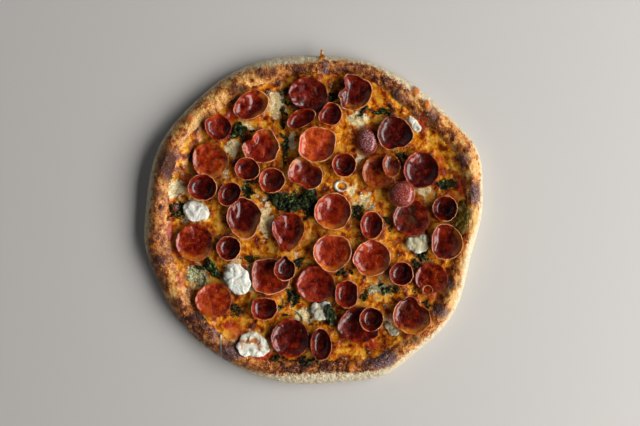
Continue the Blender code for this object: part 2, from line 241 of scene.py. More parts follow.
def places(piece):
    """The points of a piece in mm, one row each."""
    rows = np.zeros(len(piece.data.vertices) * 3)
    piece.data.vertices.foreach_get("co", rows)
    return rows.reshape(-1, 3) / MM


def directions(piece):
    """The normals at the points of a piece, one row each."""
    rows = np.zeros(len(piece.data.vertices) * 3)
    piece.data.vertex_normals.foreach_get("vector", rows)
    return rows.reshape(-1, 3)


def set_places(piece, points):
    """Moves the points of a piece to new places in mm."""
    piece.data.vertices.foreach_set("co", (points * MM).ravel())
    piece.data.update()


def paint(piece, **masks):
    """Keeps masks on the points of a piece, for its finish to read."""
    for name, values in masks.items():
        layer = piece.data.attributes.get(name) or piece.data.attributes.new(name, "FLOAT", "POINT")
        layer.data.foreach_set("value", np.clip(values, 0.0, 1.0).astype(np.float32))


def grain(points, size, octaves=3, seed=0.0):
    """Soft uneven noise from about -1 to 1, with lumps of a size in mm."""
    shift = Vector((seed, 1.7 * seed, -seed))
    return np.array([noise.fractal(Vector(p) / size + shift, 0.9, 2.0, octaves) for p in points])


def bubbles(points, size, seed=0.0):
    """Round bubbles of a size in mm: 1 on a bubble's middle and 0 or less between them."""
    shift = Vector((seed, -seed, 2.3 * seed))
    return np.array([1.0 - 1.6 * noise.voronoi(Vector(p) / size + shift)[0][0] for p in points])


def smooth_step(low, high, values):
    """0 below low, 1 above high and a soft step between them."""
    share = np.clip((values - low) / (high - low), 0.0, 1.0)
    return share * share * (3.0 - 2.0 * share)


def patches(points, table, ragged=0.0):
    """A mask over listed patches, each (x, y, half width, half depth, strength)."""
    mask = np.zeros(len(points))
    for x, y, half_x, half_y, strength in table:
        away = np.hypot((points[:, 0] - x) / half_x, (points[:, 1] - y) / half_y)
        mask = np.maximum(mask, strength * smooth_step(1.35, 0.55, away + ragged))
    return mask


def apart(angles, direction):
    """How far angles lie from a direction, in degrees."""
    return np.abs((angles - direction + 180.0) % 360.0 - 180.0)


def swelling(angles, table):
    """The sum of smooth swells at each angle, each a direction, a half width in degrees and a size."""
    return sum(size * np.exp(-((apart(angles, at) / half) ** 2)) for at, half, size in table)


def insets(points, outline):
    """How far each point lies inside an outline given as its reach at each whole degree."""
    angles = np.degrees(np.arctan2(points[:, 1], points[:, 0])) % 360.0
    return np.interp(angles, np.arange(361), outline) - np.hypot(points[:, 0], points[:, 1]), angles


def outline_of(points):
    """The reach of a round thing at each whole degree, without its drip of cheese."""
    reach = np.hypot(points[:, 0], points[:, 1])
    angles = np.degrees(np.arctan2(points[:, 1], points[:, 0])) % 360.0
    reach[(np.abs(points[:, 0] - DRIP_X) < 6.0) & (points[:, 1] > 0.0) & (points[:, 2] > 9.0)] = 0.0
    steps = [reach[apart(angles, direction) < 1.5].max() for direction in range(360)]
    return np.append(steps, steps[0])


def tree_over(piece, points):
    """A search tree over a piece, from its points in mm."""
    faces = [list(face.vertices) for face in piece.data.polygons]
    return BVHTree.FromPolygons([Vector(p) for p in points], faces)


class Finish:
    """A Principled material whose colour is laid on in layers, under a base gloss and a coat of oil."""

    def __init__(self, name, gloss, coat_ior=OIL_IOR, **constants):
        self.material = bpy.data.materials.new(name)
        self.material.use_nodes = True
        self.tree = self.material.node_tree
        self.shader = self.tree.nodes["Principled BSDF"]
        for socket, value in constants.items():
            self.shader.inputs[socket.replace("_", " ").title()].default_value = value
        self.shader.inputs["IOR"].default_value = FOOD_IOR
        self.shader.inputs["Specular IOR Level"].default_value = gloss
        self.shader.inputs["Coat IOR"].default_value = coat_ior
        self.place = self.add("ShaderNodeTexCoord").outputs["Object"]

    def add(self, kind, **settings):
        """A new node with its settings."""
        made = self.tree.nodes.new(kind)
        for name, value in settings.items():
            setattr(made, name, value)
        return made

    def put(self, value, socket):
        """Links an output, or sets a plain value, on an input."""
        if isinstance(value, bpy.types.NodeSocket):
            self.tree.links.new(value, socket)
        elif isinstance(value, tuple):
            socket.default_value = (*value, 1.0)
        else:
            socket.default_value = value

    def mask(self, name):
        """A mask that paint() kept on the piece."""
        return self.add("ShaderNodeAttribute", attribute_name=name).outputs["Fac"]

    def math(self, operation, *values, clamp=False):
        """The result of a math node."""
        made = self.add("ShaderNodeMath", operation=operation, use_clamp=clamp)
        for value, socket in zip(values, made.inputs):
            self.put(value, socket)
        return made.outputs[0]

    def stepped(self, value, low, high):
        """A value spread from low to high over 0 to 1."""
        made = self.add("ShaderNodeMapRange", interpolation_type="SMOOTHSTEP")
        for setting, socket in zip((value, low, high, 0.0, 1.0), made.inputs):
            self.put(setting, socket)
        return made.outputs[0]

    def varied(self, value, *grains):
        """A value with grains laid over it, each a speckle and how far it moves the value."""
        for speckle, amount in grains:
            value = self.math("MULTIPLY_ADD", self.math("SUBTRACT", speckle, 0.5), amount, value)
        return value

    def over(self, below, above, mask):
        """One colour laid over another by a mask."""
        made = self.add("ShaderNodeMix", data_type="RGBA")
        self.put(mask, made.inputs["Factor"])
        self.put(below, made.inputs[6])
        self.put(above, made.inputs[7])
        return made.outputs[2]

    def ramp(self, value, *stops):
        """Colours from a row of stops, each a place and a colour."""
        made = self.add("ShaderNodeValToRGB")
        elements = made.color_ramp.elements
        while len(elements) < len(stops):
            elements.new(1.0)
        for element, (at, colour) in zip(elements, stops):
            element.position = at
            element.color = (*colour, 1.0)
        self.put(value, made.inputs[0])
        return made.outputs[0]

    def baked(self, size):
        """The speckle and the height of the shared baked grain, at a grain size in mm."""
        made = self.add("ShaderNodeGroup", node_tree=baked_grain)
        self.put(self.place, made.inputs["Place"])
        self.put(1.0 / (size * MM), made.inputs["Fineness"])
        return made.outputs["Speckle"], made.outputs["Height"]

    def raised(self, height, depth):
        """Bumps the surface by a height, over a depth in mm."""
        made = self.add("ShaderNodeBump")
        self.put(depth * MM, made.inputs["Distance"])
        self.put(height, made.inputs["Height"])
        self.put(made.outputs[0], self.shader.inputs["Normal"])

    def dress(self, piece, slot, *nodes):
        """Gives a piece this finish, hangs it under the root, and hides the imported solids it replaces.
        The slot is not used.
        """
        piece.data.materials.clear()
        piece.data.materials.append(self.material)
        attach(piece, "root")
        if nodes:
            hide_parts(*nodes)


def baked_grain_group():
    """A node group for anything that baked: fine dark speckles, and tiny blisters as a height."""
    group = bpy.data.node_groups.new("baked_grain", "ShaderNodeTree")
    group.interface.new_socket("Place", in_out="INPUT", socket_type="NodeSocketVector")
    group.interface.new_socket("Fineness", in_out="INPUT", socket_type="NodeSocketFloat")
    group.interface.new_socket("Speckle", in_out="OUTPUT", socket_type="NodeSocketFloat")
    group.interface.new_socket("Height", in_out="OUTPUT", socket_type="NodeSocketFloat")
    start = group.nodes.new("NodeGroupInput")
    end = group.nodes.new("NodeGroupOutput")
    cloud = group.nodes.new("ShaderNodeTexNoise")
    cloud.inputs["Detail"].default_value = 4.0
    cloud.inputs["Roughness"].default_value = 0.62
    cells = group.nodes.new("ShaderNodeTexVoronoi")
    cells.feature = "SMOOTH_F1"
    contrast = group.nodes.new("ShaderNodeMapRange")
    contrast.inputs["From Min"].default_value = 0.36
    contrast.inputs["From Max"].default_value = 0.66
    join = group.nodes.new("ShaderNodeMath")
    join.operation = "SUBTRACT"
    group.links.new(start.outputs["Place"], cloud.inputs["Vector"])
    group.links.new(start.outputs["Place"], cells.inputs["Vector"])
    group.links.new(start.outputs["Fineness"], cloud.inputs["Scale"])
    group.links.new(start.outputs["Fineness"], cells.inputs["Scale"])
    group.links.new(cloud.outputs[0], contrast.inputs["Value"])
    group.links.new(contrast.outputs[0], end.inputs["Speckle"])
    group.links.new(cloud.outputs[0], join.inputs[0])
    group.links.new(cells.outputs["Distance"], join.inputs[1])
    group.links.new(join.outputs[0], end.inputs["Height"])
    return group


baked_grain = baked_grain_group()

dough = taken_from("crust", "dough")
refined(dough, 3)
points = places(dough)
outline = outline_of(points)
inset, angles = insets(points, outline)
facing = directions(dough)
uneven = grain(points, DOUGH_UNEVEN, seed=1.0)
fine = grain(points, DOUGH_FINE, seed=2.0)
blisters = bubbles(points, BLISTER_SIZE, seed=3.0)
small_blisters = bubbles(points, SMALL_BLISTER_SIZE, seed=4.0)
top_side = smooth_step(-0.15, 0.25, facing[:, 2]) * smooth_step(5.0, 7.5, points[:, 2])
pale_width = PALE_WIDTH + swelling(angles, PALE_BANDS) + 1.6 * uneven + 0.8 * fine
film = smooth_step(-3.5, 3.5, inset - pale_width) * top_side
at_tip = smooth_step(5.0, 2.0, np.abs(points[:, 0] - DRIP_X))
at_tip *= smooth_step(152.0, 158.0, points[:, 1])
film = np.maximum(film, at_tip * smooth_step(8.0, 10.0, points[:, 2]))
char = patches(points, CHARRED, 0.35 * uneven + 0.2 * fine) * film
creased = smooth_step(6.0, 4.0, np.abs(points[:, 0] - CREASE_X))
creased *= (points[:, 1] > CREASE_REACH[0]) & (points[:, 1] < CREASE_REACH[1])
tucked = smooth_step(1.0, -1.0, points[:, 0] - CREASE_X)
tucked *= smooth_step(14.0, 0.0, CREASE_X - points[:, 0])
tucked *= smooth_step(-90.0, -104.0, points[:, 1])
amber = patches(points, AMBER_BEADS) * top_side
relief = 0.6 * np.maximum(blisters, 0.0) + 0.55 * np.maximum(small_blisters, 0.0) + 0.5 * uneven
lift = film * DOUGH_RELIEF * relief
lift += top_side * (0.25 * fine + 0.5 * fine * char + BEAD_HEIGHT * amber - CREASE_DROP * tucked)
lift += (1.0 - film) * FLOUR_RELIEF * grain(points, FLOUR_SIZE, 2, seed=5.0) * (points[:, 2] > 1.2)
points += facing * lift[:, None]
box_low = np.array(cad_box[0]) / MM + (CLEARANCE, CLEARANCE, 0.0)
box_high = np.array(cad_box[1]) / MM - CLEARANCE
points = np.clip(points, box_low, box_high)
set_places(dough, points)
browning = 0.40 + 0.55 * uneven + 0.30 * fine + 0.14 * blisters
browning += 0.5 * patches(points, DARKER_RIM, 0.3 * uneven)
browning -= 0.25 * at_tip + patches(points, LIGHTER_RIM, 0.4 * uneven)
paint(dough, film=film, char=char, browning=browning, amber=amber, pale_line=creased * top_side)
paint(dough, sauce=patches(points, SAUCE, 0.4 * uneven) * top_side)
paint(dough, frosted=patches(points, FROSTED, 0.4 * uneven + 0.3 * fine) * top_side)
paint(dough, underside=smooth_step(-0.3, -0.9, facing[:, 2]))

crumb = Finish("baked_dough", 0.55, coat_roughness=0.14)
speckle, height = crumb.baked(1.3)
patch, blister = crumb.baked(4.5)
toasted = crumb.varied(crumb.mask("browning"), (speckle, 0.46), (patch, 0.44))
colour = crumb.ramp(
    toasted,
    (0.05, (0.86, 0.50, 0.16)),
    (0.30, (0.74, 0.29, 0.045)),
    (0.52, (0.48, 0.130, 0.014)),
    (0.76, (0.20, 0.036, 0.005)),
    (1.00, (0.055, 0.012, 0.006)),
)
floury = crumb.ramp(
    speckle,
    (0.0, (0.62, 0.50, 0.30)),
    (0.6, (0.78, 0.68, 0.47)),
    (1.0, (0.86, 0.80, 0.62)),
)
floury = crumb.over(floury, (0.50, 0.30, 0.13), crumb.math("MULTIPLY", crumb.mask("underside"), speckle))
browned = crumb.varied(crumb.mask("film"), (speckle, 0.75), (patch, 0.7))
floury = crumb.over(floury, (0.66, 0.36, 0.12), crumb.stepped(browned, 0.15, 0.5))
browned = crumb.stepped(browned, 0.35, 0.75)
colour = crumb.over(floury, colour, browned)
ash = crumb.ramp(
    speckle,
    (0.15, (0.020, 0.005, 0.004)),
    (0.60, (0.10, 0.024, 0.014)),
    (1.00, (0.17, 0.050, 0.032)),
)
colour = crumb.over(colour, ash, crumb.mask("char"))
# Grey frosted skin, with painted sheen: the lightest speckles are painted lilac-white
frost = crumb.ramp(
    speckle,
    (0.2, (0.08, 0.030, 0.030)),
    (0.6, (0.24, 0.13, 0.13)),
    (1.0, (0.56, 0.44, 0.45)),
)
colour = crumb.over(colour, frost, crumb.mask("frosted"))
colour = crumb.over(colour, SAUCE_RED, crumb.mask("sauce"))
colour = crumb.over(colour, (0.62, 0.17, 0.015), crumb.mask("amber"))
across = crumb.add("ShaderNodeSeparateXYZ")
crumb.put(crumb.place, across.inputs[0])
# Painted highlight: the crease is painted as a bright cream line, paler than the dough, as the lit edge
# of the fold
off_line = crumb.math("ABSOLUTE", crumb.math("SUBTRACT", across.outputs["X"], CREASE_X * MM))
line = crumb.math("MULTIPLY", crumb.stepped(off_line, 1.1 * MM, 0.4 * MM), crumb.mask("pale_line"))
colour = crumb.over(colour, (1.0, 0.86, 0.62), line)
crumb.put(colour, crumb.shader.inputs["Base Color"])
baked_on = crumb.math("MAXIMUM", browned, crumb.mask("amber"))
oily = crumb.math("SUBTRACT", baked_on, crumb.mask("char"), clamp=True)
crumb.put(crumb.math("MULTIPLY", oily, 0.35), crumb.shader.inputs["Coat Weight"])
crumb.put(crumb.math("MULTIPLY_ADD", baked_on, -0.50, 0.66), crumb.shader.inputs["Roughness"])
crumb.raised(crumb.math("MULTIPLY_ADD", blister, 2.0, height), 0.85)
crumb.dress(dough, "crust", "crust")
dough_top = tree_over(dough, points)

# Melted cheese
# Shredded low-moisture mozzarella over a thin coat of tomato sauce. It melted to one sheet that
# browned and oiled off, with paler milky pools, and it lies on the dough out to the rim.
CHEESE_SPAN = 322.0
CHEESE_SPACING = 1.16
BED_HEIGHT = 4.1
RAY_START = 80.0
# How far from a slice the oil stain and painted shade reach
OIL_REACH = 6.0
MELT_UNEVEN = 9.0
MELT_FINE = 2.8
CURD_SIZE = 9.0
SMALL_CURD_SIZE = 4.0
CRISP_SIZE = 4.0

# The margin starts this deep in the dough and rises by a step a cell, over so many cells of the
# grid. It also runs on under the dough's surface for a few cells.
EDGE_SINK = 0.9
EDGE_RISE = 0.45
EDGE_FADE = 12
EDGE_MARGIN = 3

# How light sinks into both kinds of cheese
SINKING_LIGHT = {"subsurface_weight": 0.2, "subsurface_scale": 2.0 * MM}

# Pale pools that stayed milky, and pools stained green by herbs
MILKY = [
    (-38, 114, 9, 11, 0.95),
    (-34, 104, 7, 8, 0.7),
    (-81, 69, 6, 8, 1.0),
    (-21, 76, 4, 9, 0.95),
    (45, 99, 10, 11, 0.9),
    (-143, 27, 8, 9, 0.9),
    (-135, 30, 8, 8, 0.8),
    (-48, -3, 6, 22, 0.95),
    (112, 27, 8, 6, 0.7),
    (-145, -8, 4, 5, 0.9),
    (50, 17, 10, 10, 0.6),
    (38, 28, 8, 5, 0.6),
    (-67, 92, 8, 6, 0.6),
    (47, 62, 6, 8, 0.6),
    (95, 92, 5, 8, 0.8),
    (-20, -40, 6, 8, 0.4),
    (-48, -4, 7, 9, 1.0),
    (-60, 20, 6, 6, 0.3),
    (-90, 44, 7, 5, 0.6),
    (82, -104, 12, 8, 0.6),
    (-7, -98, 14, 8, 0.7),
    (104, -24, 11, 9, 0.5),
    (-118, 8, 18, 14, 0.6),
    (-85, 68, 5, 5, 0.9),
    (-78, -60, 18, 20, 0.5),
    (-60, -125, 20, 14, 0.5),
]
GREENISH = [
    (-116, -58, 11, 14, 0.9),
    (67, -73, 14, 9, 0.6),
    (72, -64, 10, 10, 0.5),
    (55, 14, 9, 8, 0.5),
    (-132, 14, 8, 7, 0.3),
    (-30, 20, 16, 9, 0.4),
    (118, 22, 7, 7, 0.5),
    (108, -45, 9, 10, 0.6),
    (44, 100, 12, 6, 0.4),
]

# Streaks stained dark by leaf and herbs
STEEPED = [
    (-134, 6, 7, 8, 0.9),
    (137, -2, 8, 12, 0.6),
    (146, 8, 5, 9, 0.8),
    (134, 32, 10, 6, 0.9),
    (109, -38, 8, 6, 0.9),
    (103, -52, 6, 8, 0.8),
    (104, -70, 5, 12, 0.6),
    (80, -72, 9, 6, 0.8),
    (50, -76, 6, 9, 0.6),
    (30, -56, 8, 4, 0.7),
    (-22, -80, 6, 10, 0.8),
    (-14, -47, 4, 5, 0.9),
    (-62, -42, 10, 4, 0.8),
    (-78, -95, 9, 5, 0.6),
    (-31, 100, 3, 14, 0.8),
    (-28, 66, 3, 16, 0.8),
    (-66, 28, 5, 9, 0.9),
    (-20, 20, 22, 8, 0.6),
    (-4, 6, 8, 8, 0.7),
    (46, 6, 6, 8, 0.8),
    (84, 62, 8, 6, 0.7),
    (74, 106, 9, 4, 0.7),
    (78, -8, 4, 7, 0.6),
    (-70, 88, 6, 5, 0.8),
    (24, 118, 4, 8, 0.6),
    (5, -106, 10, 4, 0.5),
    (-4, -96, 4, 8, 0.5),
]


def one_tree(nodes):
    """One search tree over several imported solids, in metres."""
    spots, faces = [], []
    for node in nodes:
        start = len(spots)
        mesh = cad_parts[node].data
        spots += [vertex.co.copy() for vertex in mesh.vertices]
        faces += [[start + i for i in face.vertices] for face in mesh.polygons]
    return BVHTree.FromPolygons(spots, faces)


bpy.ops.object.select_all(action="DESELECT")
cells = round(CHEESE_SPAN / CHEESE_SPACING)
bpy.ops.mesh.primitive_grid_add(x_subdivisions=cells, y_subdivisions=cells, size=CHEESE_SPAN * MM)
melt = bpy.context.object
melt.name = "melted_cheese_sheet"
points = places(melt)
shaped = bpy.context.evaluated_depsgraph_get()
packed_cheese = BVHTree.FromObject(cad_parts["melted_cheese"], shaped)
packed_slices = one_tree([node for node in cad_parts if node.startswith("pepperoni")])
down = Vector((0.0, 0.0, -1.0))
heights = np.zeros(len(points))
floors = np.zeros(len(points))
covered = np.zeros(len(points), bool)
for i, (x, y, _) in enumerate(points):
    hit = packed_cheese.ray_cast(Vector((x, y, RAY_START)) * MM, down)[0]
    if hit:
        heights[i] = hit.z / MM
        covered[i] = True
    hit = dough_top.ray_cast(Vector((x, y, RAY_START)), down)[0]
    floors[i] = hit.z if hit else 0.0
side = round(len(points) ** 0.5)


def grown(mask):
    """A mask on the grid, grown by one cell."""
    wider = mask.copy()
    for axis in (0, 1):
        wider |= np.roll(mask, 1, axis) | np.roll(mask, -1, axis)
    return wider


kept = covered.reshape(side, side)
within = np.zeros((side, side))
bare = ~kept
for step in range(EDGE_FADE):
    within += ~bare
    bare = grown(bare)
for step in range(EDGE_MARGIN):
    kept = grown(kept)
margin = floors - EDGE_SINK + EDGE_RISE * within.ravel()
points[:, 2] = np.where(covered, np.minimum(heights, margin), floors - EDGE_SINK)
set_places(melt, points)
chosen(melt)
melt.data.vertices.foreach_set("select", ~kept.ravel())
melt.data.edges.foreach_set("select", np.zeros(len(melt.data.edges), bool))
melt.data.polygons.foreach_set("select", np.zeros(len(melt.data.polygons), bool))
bpy.ops.object.mode_set(mode="EDIT")
bpy.ops.mesh.select_mode(type="VERT")
bpy.ops.mesh.delete(type="VERT")
bpy.ops.object.mode_set(mode="OBJECT")
applied(melt, "SMOOTH", factor=0.5, iterations=3)
bpy.ops.object.shade_smooth()
points = places(melt)
facing = directions(melt)
inset = insets(points, outline)[0]
uneven = grain(points, MELT_UNEVEN, seed=11.0)
fine = grain(points, MELT_FINE, seed=12.0)
curds = bubbles(points, CURD_SIZE, seed=13.0)
small_curds = bubbles(points, SMALL_CURD_SIZE, seed=14.0)
inner = smooth_step(18.0, 28.0, inset)
milky = patches(points, MILKY, 0.5 * uneven + 0.25 * fine)
green = patches(points, GREENISH, 0.5 * uneven + 0.3 * fine)
to_slice = np.array([packed_slices.find_nearest(Vector(p) * MM)[3] for p in points]) / MM
curdled = 0.9 * np.maximum(curds, 0.0) + 0.55 * np.maximum(small_curds, 0.0)
lift = curdled + 0.6 * uneven + 0.28 * fine
lift += 0.5 * milky - 0.55 + 0.9 * smooth_step(5.0, 0.5, to_slice)
points += facing * (lift * (0.35 + 0.65 * inner))[:, None]
set_places(melt, points)
browning = 0.42 + 0.55 * uneven + 0.22 * fine + 0.10 * curds
paint(melt, browning=browning, milky=milky, green=green, sauce=patches(points, SAUCE, 0.4 * uneven))
crisped = smooth_step(0.3, 0.6, grain(points, CRISP_SIZE, seed=15.0))
# Painted shade: within about 2 mm of a slice the cheese is also marked scorched, a dark halo where cheese
# meets slice
crisped = np.maximum(crisped, 0.8 * smooth_step(2.2, 0.4, to_slice))
paint(melt, scorched=crisped, steeped=patches(points, STEEPED, 0.5 * uneven + 0.3 * fine))
# Near the slices the cheese is painted dark red: part pepperoni oil, part painted shade where slices meet
# cheese
paint(melt, oiled=smooth_step(OIL_REACH, 0.5, to_slice + 2.5 * uneven))
cheese_top = tree_over(melt, points)
bpy.ops.object.mode_set(mode="EDIT")
bpy.ops.mesh.select_all(action="SELECT")
bpy.ops.mesh.region_to_loop()
bpy.ops.mesh.extrude_region_move(TRANSFORM_OT_translate={"value": (0.0, 0.0, -MM)})
bpy.ops.object.mode_set(mode="OBJECT")
for vertex in melt.data.vertices:
    if vertex.select:
        vertex.co.z = BED_HEIGHT * MM
bpy.ops.object.mode_set(mode="EDIT")
bpy.ops.mesh.edge_face_add()
bpy.ops.mesh.select_all(action="SELECT")
bpy.ops.mesh.normals_make_consistent(inside=False)
bpy.ops.object.mode_set(mode="OBJECT")

molten = Finish("melted_cheese", 0.4, coat_weight=0.4, coat_roughness=0.1, **SINKING_LIGHT)
speckle, height = molten.baked(1.6)
patch, lumpy = molten.baked(7.5)
toasted = molten.varied(molten.mask("browning"), (speckle, 0.14), (patch, 0.72))
colour = molten.ramp(
    toasted,
    (0.04, (0.94, 0.50, 0.06)),
    (0.26, (0.84, 0.31, 0.008)),
    (0.50, (0.56, 0.130, 0.003)),
    (0.72, (0.27, 0.032, 0.002)),
    (1.00, (0.045, 0.007, 0.002)),
)
pool = molten.ramp(
    speckle,
    (0.1, (0.86, 0.55, 0.14)),
    (0.5, (0.96, 0.82, 0.42)),
    (0.9, (1.0, 0.97, 0.80)),
)
pooled = molten.stepped(molten.varied(molten.mask("milky"), (patch, 0.7), (speckle, 0.2)), 0.25, 0.65)
colour = molten.over(colour, pool, pooled)
herbed = molten.ramp(
    speckle,
    (0.1, (0.09, 0.09, 0.02)),
    (0.5, (0.40, 0.38, 0.18)),
    (0.9, (0.70, 0.72, 0.52)),
)
greened = molten.stepped(molten.varied(molten.mask("green"), (patch, 0.7), (speckle, 0.3)), 0.25, 0.7)
colour = molten.over(colour, herbed, greened)
steeped = molten.stepped(molten.varied(molten.mask("steeped"), (patch, 0.5), (speckle, 0.5)), 0.3, 0.7)
colour = molten.over(colour, (0.030, 0.028, 0.006), steeped)
# Scorched: crisp brown specks, and painted shade right around the slices
colour = molten.over(colour, (0.09, 0.018, 0.006), molten.math("MULTIPLY", molten.mask("scorched"), 0.45))
# Oil stain and painted shade around the slices
colour = molten.over(colour, (0.28, 0.028, 0.003), molten.math("MULTIPLY", molten.mask("oiled"), 0.75))
colour = molten.over(colour, SAUCE_RED, molten.mask("sauce"))
molten.put(colour, molten.shader.inputs["Base Color"])
molten.put(molten.math("MULTIPLY_ADD", speckle, 0.1, 0.14), molten.shader.inputs["Roughness"])
molten.raised(molten.math("MULTIPLY_ADD", lumpy, 2.5, height), 0.45)
molten.dress(melt, "melted_cheese", "melted_cheese")
laid_trees = [dough_top, cheese_top]

# Fresh cheese
# Spoonfuls of fresh white cheese that went on after the mozzarella. They stayed white and moist,
# sagged a little into the melt, and browned only where they stood highest.
FRESH_LUMPS = 7
CURD_UNEVEN = 5.0
CURD_FINE = 1.8
FRESH_CURD_SIZE = 7.0
RAGGED = 1.8
RAGGED_SIZE = 8.0

# Where it toasted, and where leaf juice and oil stained it: the middle, the half widths and how far
TOASTED_SPOTS = [
    (-62, -124, 7, 2.4, 1.0),
    (-53, -128, 3, 4, 0.9),
    (-72, -128, 2, 5, 0.7),
    (85, -107, 3, 2, 0.8),
]
STAINED = [
    (-62, -121, 17, 12, 0.35),
    (76, -112, 10, 8, 0.7),
    (104, -27, 14, 10, 0.75),
    (5, -95, 12, 10, 0.5),
]

curd = Finish("fresh_cheese", 0.4, roughness=0.42, coat_weight=0.2, **SINKING_LIGHT)
speckle, height = curd.baked(1.4)
colour = curd.ramp(
    speckle,
    (0.00, (0.66, 0.62, 0.42)),
    (0.35, (0.84, 0.85, 0.74)),
    (0.80, (0.89, 0.93, 0.89)),
)
colour = curd.over(colour, (0.50, 0.42, 0.20), curd.mask("stain"))
colour = curd.over(colour, (0.42, 0.12, 0.02), curd.mask("toasted"))
curd.put(colour, curd.shader.inputs["Base Color"])
curd.raised(height, 0.15)
for number in range(1, FRESH_LUMPS + 1):
    node = f"fresh_cheese_{number}"
    lump = taken_from(node, f"fresh_curd_{number}")
    refined(lump, 3)
    points = places(lump)
    uneven = grain(points, CURD_UNEVEN, seed=20.0 + number)
    lift = 0.9 * np.maximum(bubbles(points, FRESH_CURD_SIZE, seed=21.0), -0.2) + 0.9 * uneven
    lift += 0.12 * grain(points, CURD_FINE, 2, seed=22.0)
    points += directions(lump) * (lift - 0.1)[:, None]
    points[:, 0] += RAGGED * grain(points, RAGGED_SIZE, 2, seed=23.0)
    points[:, 1] += RAGGED * grain(points, RAGGED_SIZE, 2, seed=24.0)
    set_places(lump, points)
    low, high = points[:, 2].min(), points[:, 2].max()
    at_foot = smooth_step(0.6, 0.15, (points[:, 2] - low) / (high - low) + 0.3 * uneven)
    stain = np.maximum(patches(points, STAINED, 0.5 * uneven), 0.7 * at_foot)
    paint(lump, stain=stain, toasted=patches(points, TOASTED_SPOTS, 0.9 * uneven))
    curd.dress(lump, "fresh_cheese", node)

# Basil
# Whole fresh leaves that went into the oven with the rest. They wilted to thin, dark, crumpled
# blades, painted lighter on their crests as a painted highlight, and stuck to the melted cheese
# that they lie on. One dried to olive.
LEAVES = 6
LEAF_SIZE = 6.0
LEAF_CRUMPLE = 2.0
LEAF_LIFT = 0.2
DRIED_LEAF = 3

leafy = Finish("baked_basil", 0.2, roughness=0.42, coat_weight=0.15, coat_roughness=0.2)
speckle, height = leafy.baked(2.2)
# The light mask makes leaf paler: the pale of the stems, and painted highlight on leaf crests and some
# shreds
ribbed = leafy.math("MULTIPLY", leafy.mask("light"), 0.5)
colour = leafy.ramp(
    leafy.math("ADD", leafy.math("MULTIPLY", speckle, 0.7), ribbed),
    (0.15, (0.003, 0.004, 0.002)),
    (0.55, (0.012, 0.018, 0.004)),
    (0.85, (0.050, 0.075, 0.014)),
    (1.00, (0.200, 0.260, 0.080)),
)
colour = leafy.over(colour, (0.13, 0.085, 0.010), leafy.mask("dried"))
leafy.put(colour, leafy.shader.inputs["Base Color"])
leafy.raised(height, 0.5)
for number in range(1, LEAVES + 1):
    node = f"basil_{number}"
    leaf = taken_from(node, f"basil_leaf_{number}")
    refined(leaf, 4)
    points = places(leaf)
    crumple = grain(points * (1.0, 1.0, 0.0), LEAF_SIZE, 2, seed=30.0 + number)
    points[:, 2] += LEAF_CRUMPLE * crumple + LEAF_LIFT
    points[:, :2] += 0.8 * grain(points * (1.0, 1.0, 0.0), 0.5 * LEAF_SIZE, 2, seed=40.0)[:, None]
    set_places(leaf, points)
    dried = 0.75 if number == DRIED_LEAF else 0.0
    # Painted highlight: the crests of the crumple are painted lighter
    paint(leaf, light=0.5 + 0.9 * crumple, dried=np.full(len(points), dried))
    leafy.dress(leaf, "basil", node)
    laid_trees.append(tree_over(leaf, points))

# Pepperoni
# Thin slices of cured sausage in a natural casing. The casing shrank in the heat, so most slices
# cupped and hold a little oil, their rims crisped, and they stuck where they lay in the cheese.
SLICES = 45

# Slices that lie upside down and how pale a painted highlight makes their crowns, flat ones, and one
# under a cheese ring
DOMES = {44: 1.0, 45: 0.45}
FLAT = (2, 3, 5, 8, 12, 24)
RINGED_SLICE = 7

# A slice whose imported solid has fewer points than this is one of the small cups
SMALL_CAGE = 90

# What makes up for smoothing, the sizes of lumps and waves, how far rims buckled, and bowl depths
CAGE_SWELL = 0.5
SLICE_UNEVEN = 6.0
SLICE_FINE = 2.2
SLICE_BROAD = 12.0
RIM_WAVES = 0.24
BUCKLE = 1.1
SMALL_BUCKLE = 0.5
BOWL = 3.0
SHALLOW_BOWL = 0.7

